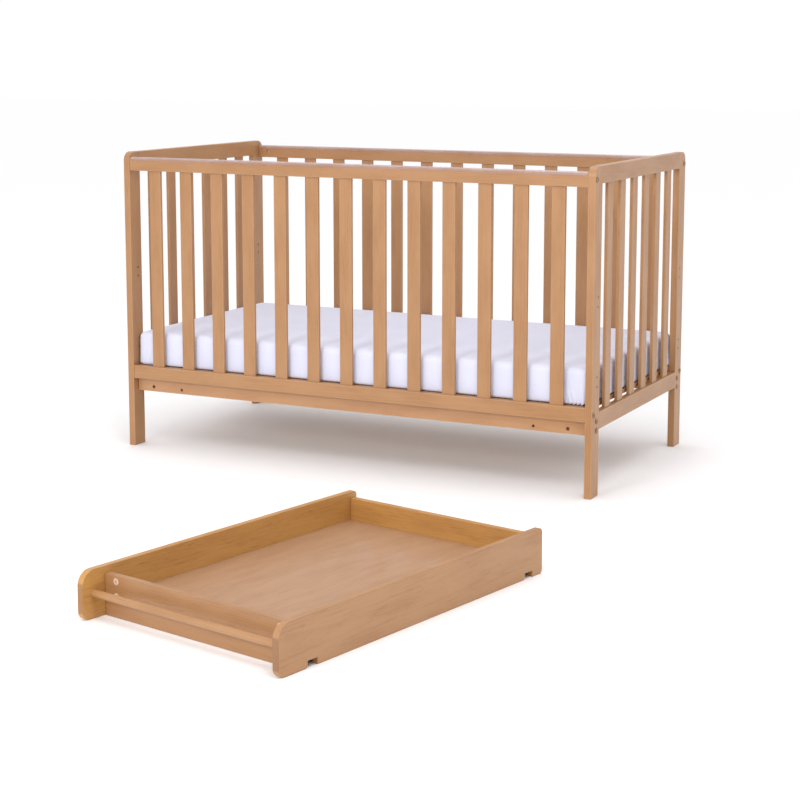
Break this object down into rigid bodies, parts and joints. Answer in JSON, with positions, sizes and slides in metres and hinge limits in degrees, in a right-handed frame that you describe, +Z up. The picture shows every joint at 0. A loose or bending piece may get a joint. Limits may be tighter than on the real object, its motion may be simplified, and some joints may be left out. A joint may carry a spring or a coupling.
{
  "type": "slatted cot with lift-off changer",
  "caption": "Wooden slatted cot with a height-adjustable mattress base, a sheeted mattress and a notched changing tray that hooks over its long rails.",
  "frame": {"origin": "on the floor, at the centre of the rectangle that the cot and the changer cover together", "axes": "+X along the cot to its right end, +Y from the changer towards the back of the cot, +Z up"},
  "size_m": [1.5724, 2.241, 0.86],
  "materials": {
    "lacquered_wood": "satin lacquer over fine straight grain",
    "base_wood": "planed, unlacquered",
    "changer_wood": "satin lacquer over fine straight grain",
    "changer_floor": "satin lacquered plywood",
    "dowel_wood": "plain beech, fluted",
    "mattress_sheet": "fine cotton fitted sheet",
    "zinc_steel": "dull zinc plate",
    "cover_plastic": "clear, slightly milky"
  },
  "bodies": {
    "cot": {"front_left_post": "lacquered_wood", "front_right_post": "lacquered_wood", "rear_left_post": "lacquered_wood", "rear_right_post": "lacquered_wood", "left_end_top_rail": "lacquered_wood", "left_end_lower_rail": "lacquered_wood", "left_end_slats": "lacquered_wood", "right_end_top_rail": "lacquered_wood", "right_end_lower_rail": "lacquered_wood", "right_end_slats": "lacquered_wood", "front_top_rail": "lacquered_wood", "front_lower_rail": "lacquered_wood", "rear_top_rail": "lacquered_wood", "rear_lower_rail": "lacquered_wood", "front_slat_1": "lacquered_wood", "front_slat_2": "lacquered_wood", "front_slat_3": "lacquered_wood", "front_slat_4": "lacquered_wood", "front_slat_5": "lacquered_wood", "front_slat_6": "lacquered_wood", "front_slat_7": "lacquered_wood", "front_slat_8": "lacquered_wood", "front_slat_9": "lacquered_wood", "front_slat_10": "lacquered_wood", "front_slat_11": "lacquered_wood", "front_slat_12": "lacquered_wood", "front_slat_13": "lacquered_wood", "rear_slat_1": "lacquered_wood", "rear_slat_2": "lacquered_wood", "rear_slat_3": "lacquered_wood", "rear_slat_4": "lacquered_wood", "rear_slat_5": "lacquered_wood", "rear_slat_6": "lacquered_wood", "rear_slat_7": "lacquered_wood", "rear_slat_8": "lacquered_wood", "rear_slat_9": "lacquered_wood", "rear_slat_10": "lacquered_wood", "rear_slat_11": "lacquered_wood", "rear_slat_12": "lacquered_wood", "rear_slat_13": "lacquered_wood", "front_teething_cover": "cover_plastic", "rear_teething_cover": "cover_plastic", "panel_bolts": "zinc_steel", "panel_barrel_nuts": "zinc_steel", "panel_dowels": "dowel_wood", "base_bolts": "zinc_steel"},
    "base": {"base_front_rail": "lacquered_wood", "base_rear_rail": "lacquered_wood", "base_cross_rails": "base_wood", "base_slats": "base_wood", "base_barrel_nuts": "zinc_steel", "base_screws": "zinc_steel"},
    "mattress": {"mattress": "mattress_sheet"},
    "changer": {"changer_left_board": "changer_wood", "changer_right_board": "changer_wood", "changer_front_board": "changer_wood", "changer_rear_board": "changer_wood", "changer_floor_panel": "changer_floor", "towel_rail": "changer_wood", "changer_cam_fittings": "zinc_steel"}
  },
  "joints": [
    {"name": "base_height", "type": "slide", "parent": "cot", "child": "base", "axis": [0, 0, 1], "range_m": [0, 0.323]},
    {"name": "mattress_lift", "type": "slide", "parent": "base", "child": "mattress", "axis": [0, 0, 1], "range_m": [0, 0.75]},
    {"name": "changer_lift", "type": "slide", "parent": "cot", "child": "changer", "axis": [0, 0, 1], "range_m": [0, 0.9]}
  ]
}
